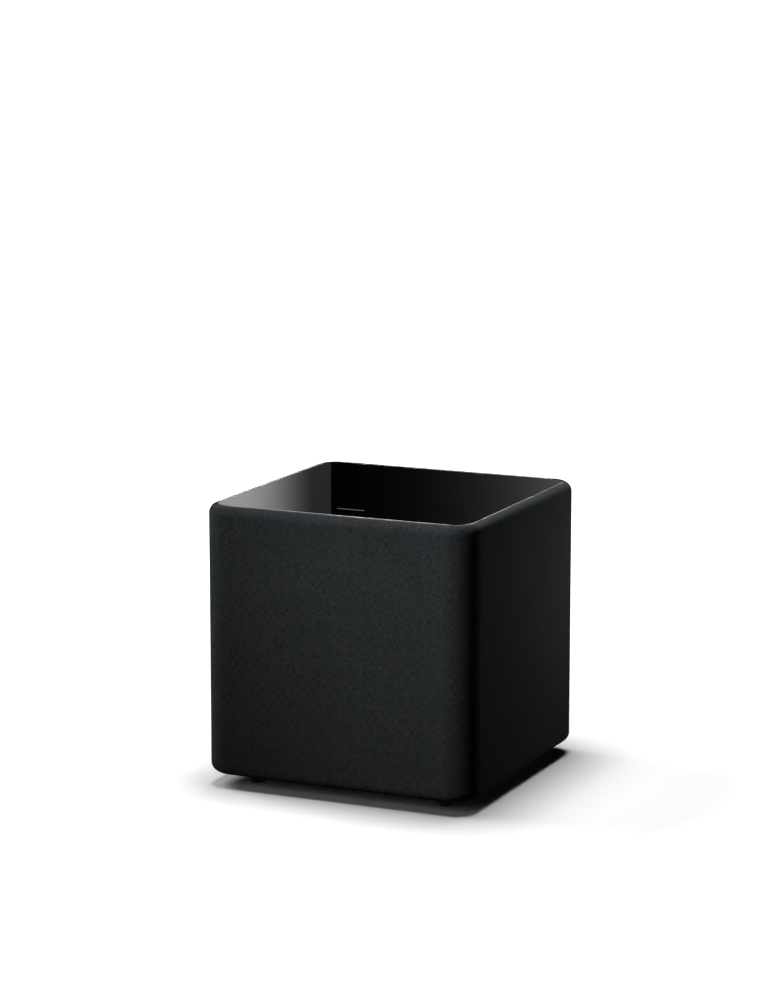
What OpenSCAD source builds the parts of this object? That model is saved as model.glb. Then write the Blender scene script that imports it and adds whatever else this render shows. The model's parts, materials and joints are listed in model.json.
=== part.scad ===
// Compact cube subwoofer, wrapped in fabric, with a gloss top panel.
// Units are millimetres. +Z is up, the front faces -Y, and the origin is on the floor,
// under the middle of the cabinet.

/* [Body] */
// Width over the fabric
body_w = 260; // [256:1:300]
// Depth over the fabric
body_d = 258; // [254:1:300]
// Height of the fabric body, without the feet
body_h = 245.6; // [244:0.2:300]
// Gap between the floor and the fabric body
lift = 11.4; // [9:0.2:16]
// Radius of the four upright corners
corner_r = 25; // [23:0.5:28]
// Radius of the top and bottom edges
edge_r = 9; // [8.6:0.1:9.4]
// Thickness of the stretched fabric
fabric_t = 1.2; // [0.8:0.1:1.4]

/* [Cabinet] */
// Thickness of the side boards
board_t = 15; // [12:1:18]
// Depth of the top and bottom boards, from the fabric's crest to their inner faces
end_t = 20; // [18:1:22]
// Side of the square corner posts
post = 30; // [28:1:32]
// Thickness of the grille frame that holds the fabric off the driver
frame_t = 14; // [13.6:0.1:14.4]
// Thickness of the internal brace
brace_t = 12; // [9:1:15]
// Width of the window in the brace
window_w = 150; // [140:1:170]
// Height of the window in the brace
window_h = 130; // [110:1:150]

/* [Top panel] */
// Distance from the fabric's outer face to the gloss panel
panel_inset = 8; // [7.6:0.1:8.4]
// Thickness of the gloss panel
panel_t = 3; // [2:0.5:3]
// Width of the panel's polished chamfer
panel_chamfer = 0.5; // [0.3:0.1:0.8]
// How far the panel lies below the fabric's crest
panel_sink = 0.95; // [0.8:0.05:1.1]
// Width of the trim ring round the panel
trim_w = 0.8; // [0.6:0.1:1]
// Length of the plain inlaid bar
inlay_l = 27; // [15:1:40]
// Height of the plain inlaid bar
inlay_w = 3; // [2:0.5:6]
// Distance from the front face to the inlaid bar
inlay_y = 38; // [25:1:60]

/* [Feet] */
// Radius of a foot at its top
foot_r = 8.3; // [7:0.1:10]
// Radius of a foot at the floor
foot_tip_r = 7.4; // [6:0.1:7.6]
// Distance from the side face to a foot's centre
foot_x = 38; // [32:1:60]
// Distance from the front and back faces to a foot's centre
foot_y = 36; // [32:1:60]

/* [Driver] */
// Radius of the basket's flange
flange_r = 92; // [90:0.5:94]
// Radius of the hole in the baffle
cutout_r = 79.5; // [79:0.5:82]
// Radius of the circle of driver screws
screw_circle_r = 86; // [85:0.5:87]
// Number of driver screws
driver_screw_count = 8; // [6:1:12]
// Outer radius of the surround's roll
roll_r_out = 74; // [73:0.5:74]
// Inner radius of the surround's roll
roll_r_in = 58; // [57:0.5:59]
// Outer radius of the voice coil former
former_r = 19; // [18.9:0.05:19]
// Outer radius of the magnet
magnet_r = 55; // [52:1:60]
// Thickness of the magnet
magnet_t = 18; // [16:1:20]

/* [Amplifier] */
// Width of the amplifier panel
amp_w = 151.6; // [148:0.2:152]
// Height of the amplifier panel
amp_h = 161.6; // [158:0.2:162]
// Thickness of the amplifier panel
amp_t = 2; // [1.5:0.1:2]
// Radius of the control knobs
knob_r = 10; // [9:0.5:11]
// Number of flutes round a knob
knob_flutes = 24; // [16:1:30]
// Radius of the control shafts
shaft_r = 3; // [2.5:0.1:3]
// Radius of the line input barrels
jack_r = 4.15; // [4.1:0.05:4.2]

/* [Hidden] */
$fn = 96;
eps = 0.01;

// Colours
charcoal = "#2b2b2d";
gloss_black = "#050505";
board_brown = "#8a6a48";
plastic_black = "#17171a";
steel = "#b8babd";
copper = "#b87333";
brass = "#c9a24a";
board_green = "#1f5a3a";

// Levels
top_z = lift + body_h;
mid_z = lift + body_h / 2;
floor_z = lift + end_t;
ceiling_z = top_z - end_t;
inner_h = ceiling_z - floor_z;
board_x = body_w / 2 - fabric_t;
board_y = body_d / 2 - fabric_t;
post_x = board_x - post;
post_y = board_y - post;

// Edge of the fabric at the top and bottom, where it turns in beside the trim ring
tuck_u = corner_r - panel_inset + trim_w;
rim_u = tuck_u + fabric_t;
trim_foot_t = 0.6;
trim_foot_w = 7;
panel_top_z = top_z - panel_sink;
seat_z = panel_top_z - panel_t - trim_foot_t;
base_gap = 0.2;
base_recess = 0.55;
base_seat_z = 2 * mid_z - seat_z;
base_z = lift + base_recess;

// Driver levels along Y, from front to back
frame_back_y = -board_y + frame_t;
baffle_t = post - frame_t;
baffle_back_y = frame_back_y + baffle_t;
rebate_y = frame_back_y + 5;
gasket_t = 0.6;
flange_t = 4;
flange_back_y = rebate_y - gasket_t;
flange_y = flange_back_y - flange_t;
lip_t = 0.6;
cone_t = 1;
cone_neck_y = flange_y + 24.8;
spider_y = flange_y + 51.15;
shelf_y = spider_y + 0.25;
shelf_t = 4;
basket_back_y = shelf_y + 22;
basket_plate_t = 4;
pole_plate_t = 8;
pole_plate_y = basket_back_y;
magnet_y = pole_plate_y + pole_plate_t;
back_plate_y = magnet_y + magnet_t;
pole_r = former_r - 0.7;
former_t = 0.25;
coil_t = 0.6;
gap_r = former_r + 1.1;
coil_y = pole_plate_y - 6;
coil_l = 20;
pole_plate_r = magnet_r - 5;
vent_r = 8;
driver_screw_r = 2;
window_count = 6;

// Amplifier levels along Y, from back to front
well_t = 18;
ledge_t = 5;
ledge_y = board_y - well_t + ledge_t;
ledge_lip = 6.8;
bezel_t = 2;
bezel_gap = 0.2;
bezel_w = 156;
bezel_h = 166;
bezel_r = 6;
plate_y = ledge_y + gasket_t;
plate_front_y = plate_y + amp_t;
board_thick = 1.6;
amp_board_y = plate_y - 14;
power_board_y = plate_y - 31.4;
amp_screw_r = 1.6;
standoff_r = 2.6;

// Places on the amplifier panel, as [x, z]
volume_at = [38, mid_z + 48];
crossover_at = [-38, mid_z + 48];
phase_at = [38, mid_z + 16];
mode_at = [-38, mid_z + 16];
jacks_at = [[47, mid_z - 16], [29, mid_z - 16]];
lens_at = [-38, mid_z - 16];
inlet_at = [34, mid_z - 52];
rocker_at = [-38, mid_z - 52];
amp_screw_x = amp_w / 2 - 4.8;
amp_screw_z = amp_h / 2 - 4.8;
amp_screws_at = [for (i = [-1 : 1], j = [-1 : 1])
                    if (i != 0 || j != 0) [i * amp_screw_x, mid_z + j * amp_screw_z]];
amp_standoffs_at = [for (x = [-56, 56], z = [-24, 66]) [x, mid_z + z]];
power_standoffs_at = [for (x = [-56, 56], z = [-68, -38]) [x, mid_z + z]];

// Controls
shaft_gap = 0.05;
bushing_r = shaft_r + 0.5;
pot_r = 8;
knob_y = plate_front_y + 0.8;
knob_h = 10.2;
knob_cap_t = 1.8;
lever_w = 3.2;
lever_h = 3.6;
phase_travel = 4;
mode_travel = 8;
rocker_half = 7.4;
rocker_w = 11;
rocker_tilt = 8;
rocker_pin_r = 1.2;
rocker_y = plate_y - 3.4;
inlet_w = 27.6;
inlet_h = 19.8;
pin_tip_y = plate_front_y - 4;
pins_at = [[-7, -2], [7, -2], [0, 3.6]];
jack_wall = 0.75;
jack_hole_r = 1.6;
lens_r = 1.6;
jack_y = plate_front_y + 1.2;
jack_l = 8.6;

// Routes of the internal leads, from the amplifier board to the driver's tabs
lead_r = 1.2;
tinsel_r = 0.8;
lead_sides = 8;
tab_gap = 5;
lead_route = [[50, 101.4, 6], [50, 94, 6], [51, 84, 4], [54, 72, 1], [58, 60, -3], [61, 48, -6],
              [62, 36, -7], [63, 24, -7], [65, 12, -7], [68, -2, -5], [71, -14, -3], [74, -26, 0],
              [76, -36, 3], [77, -44, 4], [75, -49, 5], [71, -51, 5], [67, -51, 5], [62, -51, 5]];
tinsel_route = [[53.5, -57, 4], [54, -60, 4], [58, -66, 4], [60.5, -73, 4], [59.5, -81, 4],
                [54, -88, 4], [47, -94, 4], [42.5, -99, 4], [42, -103, 4]];

// ---------- helpers ----------

// Sweeps a half-section round the body: x is the distance out from the corner's centre
module around() {
    span_x = body_w - 2 * corner_r;
    span_y = body_d - 2 * corner_r;
    for (turn = [0, 2]) rotate([0, 0, 90 * turn]) {
        translate([span_x / 2, span_y / 2, 0]) rotate_extrude(angle = 90) children();
        translate([span_x / 2, 0, 0]) rotate([90, 0, 0])
            linear_extrude(height = span_y, center = true) children();
    }
    for (turn = [1, 3]) rotate([0, 0, 90 * turn]) {
        translate([span_y / 2, span_x / 2, 0]) rotate_extrude(angle = 90) children();
        translate([span_y / 2, 0, 0]) rotate([90, 0, 0])
            linear_extrude(height = span_x, center = true) children();
    }
}

// Fills the middle that around() leaves open, between two levels
module middle(z0, z1) {
    translate([-body_w / 2 + corner_r, -body_d / 2 + corner_r, z0])
        cube([body_w - 2 * corner_r, body_d - 2 * corner_r, z1 - z0]);
}

// Half-section of the body's outer shape, shrunk by a wall thickness
module half_section(wall) {
    translate([0, lift + edge_r]) square([corner_r - wall, body_h - 2 * edge_r]);
    translate([0, lift + wall]) square([corner_r - edge_r, body_h - 2 * wall]);
    for (z = [lift + edge_r, top_z - edge_r])
        translate([corner_r - edge_r, z]) circle(r = edge_r - wall);
}

// Rectangle with round corners, centred
module round_rect(w, h, r) {
    square([w - 2 * r, h], center = true);
    square([w, h - 2 * r], center = true);
    for (x = [-1, 1], y = [-1, 1])
        translate([x * (w / 2 - r), y * (h / 2 - r)]) circle(r = r);
}

// Stands a flat shape drawn in x and z upright, from y0 to y1
module upright(y0, y1) {
    translate([0, y1, 0]) rotate([90, 0, 0]) linear_extrude(height = y1 - y0) children();
}

// Turns a half-section drawn in radius and y round the driver's axis
module turned() {
    translate([0, 0, mid_z]) rotate([-90, 0, 0]) rotate_extrude() children();
}

// A ring along Y, in a turned half-section
module band(r0, r1, y0, y1) {
    translate([r0, y0]) square([r1 - r0, y1 - y0]);
}

// A rod along Y at [x, z]
module rod(at, r, y0, y1) {
    translate([at[0], y0, at[1]]) rotate([-90, 0, 0]) cylinder(r = r, h = y1 - y0);
}

// A block along Y centred at [x, z]
module block(at, w, h, y0, y1) {
    translate([at[0] - w / 2, y0, at[1] - h / 2]) cube([w, y1 - y0, h]);
}

// A pan-head screw pointing up, with a cross recess; its head sits under the level z = 0
module screw(head_r, head_h, r, len) difference() {
    union() {
        rotate_extrude() polygon([[0, -head_h], [head_r - 0.7, -head_h], [head_r, 0.7 - head_h],
                                  [head_r, 0], [0, 0]]);
        translate([0, 0, -eps]) cylinder(r = r, h = len);
    }
    for (turn = [0, 90]) rotate([0, 0, turn])
        translate([-head_r * 0.55, -0.4, -head_h - 1]) cube([head_r * 1.1, 0.8, 0.6 * head_h + 1]);
}

// A screw along Y at [x, z], its head resting on the level y and its tip towards way
module panel_screw(at, head_r, head_h, r, len, y, way)
    translate([at[0], y, at[1]]) rotate([-90 * way, 0, 0]) screw(head_r, head_h, r, len);

// Mirrors the children about the body's middle level, top to bottom
module flipped() {
    translate([0, 0, 2 * mid_z]) mirror([0, 0, 1]) children();
}

// Unit vector, and a ring of points round a route's point
function unit(v) = v / norm(v);
function heading(path, i) =
    unit(path[min(i + 1, len(path) - 1)] - path[max(i - 1, 0)]);
function end_heading(path, i) =
    i == 0 ? [0, -1, 0] : heading(path, i);
function ring_points(c, d, r) =
    let (side = unit(cross(d, [0, 0, 1])), up = cross(side, d))
    [for (k = [0 : lead_sides - 1])
        c + r * (cos(360 * k / lead_sides) * side + sin(360 * k / lead_sides) * up)];

// Round tube swept along a route, as one closed solid
module swept_lead(path, r) {
    last = len(path) - 1;
    points = [for (i = [0 : last]) each ring_points(path[i], end_heading(path, i), r)];
    walls = [for (i = [0 : last - 1], k = [0 : lead_sides - 1])
                let (next = (k + 1) % lead_sides, a = i * lead_sides, b = a + lead_sides)
                [a + k, a + next, b + next, b + k]];
    start_cap = [for (k = [lead_sides - 1 : -1 : 0]) k];
    end_cap = [for (k = [0 : lead_sides - 1]) last * lead_sides + k];
    polyhedron(points = points, faces = concat(walls, [start_cap, end_cap]), convexity = 6);
}

// ---------- cabinet ----------

module fabric_sleeve() color(charcoal) difference() {
    around() {
        intersection() {
            difference() {
                half_section(0);
                half_section(fabric_t);
            }
            translate([tuck_u, 0]) square([corner_r, top_z + 1]);
        }
        intersection() {
            half_section(0);
            translate([tuck_u, seat_z]) square([fabric_t, end_t]);
        }
        intersection() {
            half_section(0);
            translate([tuck_u, 0]) square([fabric_t, base_seat_z]);
        }
    }
    upright(board_y - 2, board_y + 4) translate([0, mid_z])
        round_rect(bezel_w + 2 * bezel_gap, bezel_h + 2 * bezel_gap, bezel_r + bezel_gap);
}

module end_board() {
    around() difference() {
        intersection() {
            half_section(fabric_t);
            translate([0, ceiling_z]) square([corner_r, end_t]);
        }
        translate([-1, seat_z]) square([rim_u + 1, end_t]);
    }
    middle(ceiling_z, seat_z);
}

module top_board() color(board_brown) end_board();

module foot_places() {
    for (x = [-1, 1], y = [-1, 1])
        translate([x * (body_w / 2 - foot_x), y * (body_d / 2 - foot_y), 0]) children();
}

foot_screw_r = 2;
foot_head_r = 4;
foot_head_z = 5;
foot_screw_l = 20;
foot_hole = 0.3;

module bottom_board() color(board_brown) difference() {
    flipped() end_board();
    foot_places() translate([0, 0, base_seat_z - 1])
        cylinder(r = foot_screw_r, h = foot_head_z + foot_screw_l - base_seat_z + 1);
}

module side_board(side) color(board_brown)
    translate([side * (board_x - board_t / 2), 0, mid_z])
        cube([board_t, 2 * post_y, inner_h], center = true);

module side_board_left() side_board(-1);

module side_board_right() side_board(1);

module corner_posts() color(board_brown) for (x = [0, 1], y = [0, 1])
    mirror([x, 0, 0]) mirror([0, y, 0]) translate([post_x, post_y, floor_z])
        linear_extrude(height = inner_h) intersection() {
            square([post, post]);
            union() {
                round = corner_r - fabric_t;
                translate([post - round, post - round]) circle(r = round);
                square([post, post - round]);
                square([post - round, post]);
            }
        }

peg_r = 3;
peg_l = 9;
pegs_at = [for (x = [-86, 86], z = [-90, 90]) [x, mid_z + z]];

module front_baffle() color(board_brown) difference() {
    block([0, mid_z], 2 * post_x, inner_h, frame_back_y, baffle_back_y);
    rod([0, mid_z], cutout_r, frame_back_y - 1, baffle_back_y + 1);
    rod([0, mid_z], flange_r + 0.5, frame_back_y - 1, rebate_y);
    driver_screw_places() rod([0, 0], driver_screw_r, rebate_y - 1, rebate_y + 8);
    for (at = pegs_at) rod(at, peg_r, frame_back_y - 1, frame_back_y + peg_l);
}

module rear_board() color(board_brown) difference() {
    block([0, mid_z], 2 * post_x, inner_h, board_y - well_t, board_y);
    upright(ledge_y, board_y + 1) translate([0, mid_z])
        round_rect(bezel_w + 2 * bezel_gap, bezel_h + 2 * bezel_gap, bezel_r + bezel_gap);
    block([0, mid_z], amp_w - 2 * ledge_lip, amp_h - 2 * ledge_lip,
          board_y - well_t - 1, ledge_y + 1);
    for (at = amp_screws_at) rod(at, amp_screw_r, board_y - well_t - 1, ledge_y + 1);
}

brace_y = 30;
window_r = 20;

module cabinet_brace() color(board_brown) upright(brace_y, brace_y + brace_t)
    translate([0, mid_z]) difference() {
        square([2 * (board_x - board_t), inner_h], center = true);
        round_rect(window_w, window_h, window_r);
    }

wadding_t = 24;
wadding_gap = 0.4;

module acoustic_wadding() color("ivory") for (side = [0, 1]) mirror([side, 0, 0])
    translate([board_x - board_t - wadding_t - wadding_gap, -90, floor_z + 16])
        cube([wadding_t, brace_y + 84, inner_h - 32]);

opening_w = 178;
opening_h = 184;
opening_r = 34;
rib_w = 3;
rib_t = 2.6;

module grille_frame() color(plastic_black) difference() {
    union() {
        upright(-board_y, frame_back_y) translate([0, mid_z]) difference() {
            square([2 * post_x - 0.4, inner_h - 0.4], center = true);
            round_rect(opening_w, opening_h, opening_r);
        }
        for (side = [-1, 1]) {
            block([side * opening_w / 6, mid_z], rib_w, opening_h + 2, -board_y, rib_t - board_y);
            block([0, mid_z + side * opening_h / 6], opening_w + 2, rib_w,
                  -board_y, rib_t - board_y);
        }
    }
    for (at = pegs_at) rod(at, peg_r, frame_back_y - 8, frame_back_y + 1);
}

module grille_pegs() color(plastic_black) for (at = pegs_at)
    rod(at, peg_r, frame_back_y - 8, frame_back_y + peg_l);

module top_trim_ring() color(steel) around() {
    translate([tuck_u - trim_w, seat_z]) square([trim_w, panel_top_z - seat_z]);
    translate([tuck_u - trim_w / 2, panel_top_z]) circle(r = trim_w / 2);
    translate([tuck_u - trim_foot_w, seat_z]) square([trim_foot_w, trim_foot_t]);
}

panel_u = tuck_u - trim_w - 0.05;

module top_panel() color(gloss_black) difference() {
    union() {
        around() polygon([[0, panel_top_z - panel_t], [panel_u, panel_top_z - panel_t],
                          [panel_u, panel_top_z - panel_chamfer],
                          [panel_u - panel_chamfer, panel_top_z], [0, panel_top_z]]);
        middle(panel_top_z - panel_t, panel_top_z);
    }
    inlay_place() inlay_bar(inlay_w + 0.1, 1);
}

inlay_t = 0.4;

module inlay_place() translate([0, -body_d / 2 + inlay_y, panel_top_z - inlay_t]) children();

module inlay_bar(w, h) linear_extrude(height = h)
    round_rect(inlay_l + w - inlay_w, w, w / 2 - eps);

module top_inlay() color(steel) inlay_place() inlay_bar(inlay_w, inlay_t);

module base_plate() color(plastic_black) difference() {
    union() {
        around() polygon([[0, base_z], [tuck_u - base_gap - 1, base_z],
                          [tuck_u - base_gap, base_z + 1],
                          [tuck_u - base_gap, base_seat_z], [0, base_seat_z]]);
        middle(base_z, base_seat_z);
    }
    foot_places() translate([0, 0, base_z - 1]) cylinder(r = foot_screw_r + foot_hole, h = 8);
}

// ---------- feet ----------

module feet() color(plastic_black) foot_places() rotate_extrude() difference() {
    union() {
        polygon([[0, 1.2], [foot_tip_r, 1.2], [foot_r, base_z - 2], [foot_r, base_z],
                 [0, base_z]]);
        square([foot_tip_r - 1.2, 2]);
        translate([foot_tip_r - 1.2, 1.2]) circle(r = 1.2);
    }
    translate([-1, -1]) square([foot_head_r + foot_hole + 1, foot_head_z + 1]);
    translate([-1, -1]) square([foot_screw_r + foot_hole + 1, base_z + 2]);
}

module foot_screws() color(steel) foot_places()
    translate([0, 0, foot_head_z]) screw(foot_head_r, 2.4, foot_screw_r, foot_screw_l);

// ---------- driver ----------

module driver_screw_places() for (i = [0 : driver_screw_count - 1])
    translate([0, 0, mid_z]) rotate([0, 360 * (i + 0.5) / driver_screw_count, 0])
        translate([screw_circle_r, 0, 0]) children();

basket_wall = 3;
basket_bore = roll_r_out + 0.5;
basket_skirt_y = flange_y + 15.4;
shelf_r_in = 45;
shelf_r_out = 53;
basket_can_r = 51;
basket_hub_r = 22;
upper_window_w = 38;
lower_window_w = 24;

module driver_basket() color("#3a3b3e") difference() {
    turned() {
        band(basket_bore, flange_r, flange_y, flange_back_y);
        band(basket_bore, basket_bore + basket_wall, flange_back_y - eps, basket_skirt_y);
        polygon([[basket_bore + basket_wall, basket_skirt_y], [basket_bore, basket_skirt_y],
                 [shelf_r_out - basket_wall, shelf_y], [shelf_r_out, shelf_y]]);
        band(shelf_r_in, shelf_r_out, shelf_y, shelf_y + shelf_t);
        band(basket_can_r - basket_wall, basket_can_r, shelf_y + shelf_t - eps, basket_back_y);
        band(basket_hub_r, basket_can_r, basket_back_y - basket_plate_t, basket_back_y);
    }
    for (i = [0 : window_count - 1])
        translate([0, 0, mid_z]) rotate([0, 360 * i / window_count, 0]) {
            basket_window(upper_window_w, basket_skirt_y + 2.6, shelf_y - 4);
            basket_window(lower_window_w, shelf_y + shelf_t + 1,
                          basket_back_y - basket_plate_t - basket_wall);
        }
    driver_screw_places() rod([0, 0], driver_screw_r + 0.3, flange_y - 1, flange_back_y + 1);
}

module basket_window(w, y0, y1) block([flange_r / 2 + shelf_r_in / 2, 0], flange_r / 2, w, y0, y1);

module driver_gasket() color("dimgray") difference() {
    turned() band(cutout_r, flange_r - 1, flange_back_y, rebate_y);
    driver_screw_places() rod([0, 0], driver_screw_r + 0.3, flange_y - 1, rebate_y + 1);
}

driver_head_r = 3.5;
driver_head_h = 1.8;
driver_screw_l = 12;

module driver_screws() color(steel) driver_screw_places()
    panel_screw([0, 0], driver_head_r, driver_head_h, driver_screw_r, driver_screw_l, flange_y, 1);

module front_pole_plate() color(steel)
    turned() band(gap_r, pole_plate_r, pole_plate_y, magnet_y);

magnet_bore = 26.5;

module magnet_ring() color("#2a2a2e") turned() band(magnet_bore, magnet_r, magnet_y, back_plate_y);

module rear_pole_piece() color(steel) turned() {
    band(vent_r, pole_plate_r, back_plate_y, back_plate_y + pole_plate_t);
    band(vent_r, pole_r, pole_plate_y - 2, back_plate_y + eps);
}

module shorting_ring() color(copper)
    turned() band(gap_r + 0.3, magnet_bore - 0.1, magnet_y + 0.1, back_plate_y - 0.1);

module voice_coil_former() color("#d8c9a0")
    turned() band(former_r - former_t, former_r, cone_neck_y - 2, coil_y + coil_l + 0.4);

module voice_coil() color(copper)
    turned() band(former_r, former_r + coil_t, coil_y, coil_y + coil_l);

module spider() color("#c8a45a") turned() {
    wave_r = 3;
    wave_count = 4;
    wave_start = 20;
    wave_end = wave_start + 2 * wave_r * wave_count;
    half_t = 0.25;
    band(former_r + 0.05, wave_start + half_t, spider_y - half_t, spider_y + half_t);
    band(wave_end - half_t, shelf_r_out - 3, spider_y - half_t, spider_y + half_t);
    for (i = [0 : wave_count - 1])
        translate([wave_start + wave_r + 2 * wave_r * i, spider_y]) intersection() {
        difference() {
            circle(r = wave_r + half_t);
            circle(r = wave_r - half_t);
        }
        translate([-2 * wave_r, i % 2 == 0 ? 0 : -2 * wave_r]) square([4 * wave_r, 2 * wave_r]);
    }
}

module cone() color("#232326") turned() polygon([
    [roll_r_in, flange_y], [roll_r_in - 4, flange_y], [former_r, cone_neck_y],
    [former_r, cone_neck_y + cone_t * 1.3], [roll_r_in - 4.2, flange_y + cone_t],
    [roll_r_in, flange_y + cone_t]]);

cap_r = 24;
cap_rise = 8.8;
cap_ball_r = (cap_r * cap_r + cap_rise * cap_rise) / (2 * cap_rise);
cap_rim_y = cone_neck_y - (cap_r - former_r) * (cone_neck_y - flange_y) / (roll_r_in - 4 - former_r)
            - 0.1;

module dust_cap() color("#1b1b1d") turned() intersection() {
    translate([0, cap_rim_y - cap_rise + cap_ball_r]) difference() {
        circle(r = cap_ball_r);
        circle(r = cap_ball_r - 0.8);
    }
    translate([0, cap_rim_y - 2 * cap_rise]) square([cap_r, 2 * cap_rise]);
}

module surround() color("#1e1e20") turned() {
    roll_r = (roll_r_out - roll_r_in) / 2;
    band(roll_r_in - 4, roll_r_in + 0.8, flange_y - lip_t, flange_y);
    band(roll_r_out - 0.8, roll_r_out + 6, flange_y - lip_t, flange_y);
    translate([roll_r_in + roll_r, flange_y - lip_t + eps]) intersection() {
        difference() {
            circle(r = roll_r);
            circle(r = roll_r - 0.8);
        }
        translate([-roll_r, -2 * roll_r]) square([2 * roll_r, 2 * roll_r]);
    }
}

tab_y = -51;
tab_t = 0.8;

module driver_terminals() color("#6b4a2a") {
    block([53.5, mid_z], 5, 18, tab_y - 6, tab_y + 6);
    for (side = [-1, 1])
        block([59, mid_z + side * tab_gap], 6, 2.8, tab_y - tab_t / 2, tab_y + tab_t / 2);
}

module tinsel_leads() color(brass) for (side = [0, 1])
    translate([0, 0, mid_z]) mirror([0, 0, side]) swept_lead(tinsel_route, tinsel_r);

// ---------- amplifier ----------

module amp_bezel() color(plastic_black) upright(ledge_y, body_d / 2) translate([0, mid_z])
    difference() {
        round_rect(bezel_w, bezel_h, bezel_r);
        round_rect(bezel_w - 2 * bezel_t, bezel_h - 2 * bezel_t, bezel_r - bezel_t);
    }

module amp_gasket() color("dimgray") difference() {
    upright(ledge_y, plate_y) translate([0, mid_z]) difference() {
        round_rect(amp_w, amp_h, bezel_r - bezel_t);
        square([amp_w - 2 * ledge_lip, amp_h - 2 * ledge_lip], center = true);
    }
    for (at = amp_screws_at) rod(at, amp_screw_r + 0.3, ledge_y - 1, plate_y + 1);
}

module amp_panel() color("#1d1d20") difference() {
    upright(plate_y, plate_front_y) translate([0, mid_z])
        round_rect(amp_w, amp_h, bezel_r - bezel_t);
    for (at = amp_screws_at) rod(at, amp_screw_r + 0.3, plate_y - 1, plate_front_y + 1);
    for (at = [volume_at, crossover_at]) rod(at, bushing_r + 0.1, plate_y - 1, plate_front_y + 1);
    for (at = jacks_at) rod(at, jack_r + 0.1, plate_y - 1, plate_front_y + 1);
    rod(lens_at, lens_r + 0.1, plate_y - 1, plate_front_y + 1);
    lever_slot(phase_at, phase_travel, plate_y - 1, plate_front_y + 1);
    lever_slot(mode_at, mode_travel, plate_y - 1, plate_front_y + 1);
    block(inlet_at, inlet_w + 0.2, inlet_h + 0.2, plate_y - 1, plate_front_y + 1);
    block(rocker_at, rocker_w + 2.4, 2 * rocker_half + 5, plate_y - 1, plate_front_y + 1);
}

module lever_slot(at, travel, y0, y1) block(at, lever_w + travel + 0.8, lever_h + 0.8, y0, y1);

module amp_screws() color(steel) for (at = amp_screws_at)
    panel_screw(at, 3.2, 2, amp_screw_r, 14, plate_front_y, -1);

board_w = 124;
amp_board_h = 102;
amp_board_z = mid_z + 20.8;
power_board_h = 40;
power_board_z = mid_z - 53.2;
board_screw_r = 1.5;

module amp_board() color(board_green) difference() {
    block([0, amp_board_z], board_w, amp_board_h, amp_board_y, amp_board_y + board_thick);
    for (at = amp_standoffs_at) rod(at, board_screw_r, amp_board_y - 1, amp_board_y + 3);
}

module power_board() color(board_green) difference() {
    block([0, power_board_z], board_w, power_board_h, power_board_y, power_board_y + board_thick);
    for (at = power_standoffs_at) rod(at, board_screw_r, power_board_y - 1, power_board_y + 3);
}

module board_standoffs() color(brass) {
    for (at = amp_standoffs_at) rod(at, standoff_r, amp_board_y + board_thick, plate_y);
    for (at = power_standoffs_at) rod(at, standoff_r, power_board_y + board_thick, plate_y);
}

fin_count = 8;
fin_t = 1.8;
sink_w = 70;
sink_h = 34;
sink_at = [-14, mid_z + 50];

sink_base_t = 4;
sink_depth = 28;

module heat_sink() color(steel) {
    block(sink_at, sink_w, sink_h, amp_board_y - sink_base_t, amp_board_y);
    for (i = [0 : fin_count - 1])
        block([sink_at[0] - sink_w / 2 + fin_t / 2 + i * (sink_w - fin_t) / (fin_count - 1),
               sink_at[1]], fin_t, sink_h,
              amp_board_y - sink_depth, amp_board_y - sink_base_t + eps);
}

core_w = 36;
core_h = 30;
core_depth = 33;
core_end_t = 6;
winding_h = 14;

module power_transformer() color("#c8b04a") {
    at = [-30, power_board_z];
    far_y = power_board_y - core_depth;
    block(at, core_w, core_h, power_board_y - core_end_t - 1, power_board_y);
    block(at, core_h, winding_h, far_y + core_end_t, power_board_y - core_end_t - 1 + eps);
    block(at, core_w, core_h, far_y, far_y + core_end_t + eps);
}

module capacitors() color("#22304a") {
    for (x = [-40, -20, 0]) can([x, mid_z + 4], 8, 24, amp_board_y);
    for (x = [8, 32]) can([x, power_board_z], 10, 28, power_board_y);
}

// A round can standing on the back of a board, with its rolled groove
module can(at, r, h, y) difference() {
    rod(at, r, y - h, y);
    translate([at[0], y - 3, at[1]]) rotate([-90, 0, 0]) rotate_extrude()
        translate([r, 0]) circle(r = 0.6);
}

module control_pots() color("silver") for (at = [volume_at, crossover_at]) difference() {
    union() {
        rod(at, pot_r, amp_board_y + board_thick, plate_y - 3);
        rod(at, bushing_r, plate_y - 3 - eps, plate_front_y + 1.6);
    }
    rod(at, shaft_r + shaft_gap, amp_board_y + 3, plate_front_y + 2);
}

module control_shaft(at) color(steel)
    rod(at, shaft_r, amp_board_y + 3.4, knob_y + knob_h - knob_cap_t);

module volume_shaft() control_shaft(volume_at);

module crossover_shaft() control_shaft(crossover_at);

module control_knob(at) color(plastic_black) difference() {
    translate([at[0], 0, at[1]]) rotate([-90, 0, 0]) rotate_extrude() {
        translate([0, knob_y]) square([knob_r, knob_h - 1]);
        translate([0, knob_y]) square([knob_r - 1, knob_h]);
        translate([knob_r - 1, knob_y + knob_h - 1]) circle(r = 1);
    }
    rod(at, shaft_r, knob_y - 1, knob_y + knob_h - knob_cap_t);
    rod(at, pot_r - 1, knob_y - 1, knob_y + 3.4);
    for (i = [0 : knob_flutes - 1])
        translate([at[0], 0, at[1]]) rotate([0, 360 * (i + 0.5) / knob_flutes, 0])
            rod([knob_r + 0.35, 0], 0.8, knob_y - 1, knob_y + knob_h + 1);
    block([at[0], at[1] + knob_r - 3.6], 1, 6, knob_y + knob_h - 0.5, knob_y + knob_h + 1);
}

module volume_knob() control_knob(volume_at);

module crossover_knob() control_knob(crossover_at);

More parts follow.
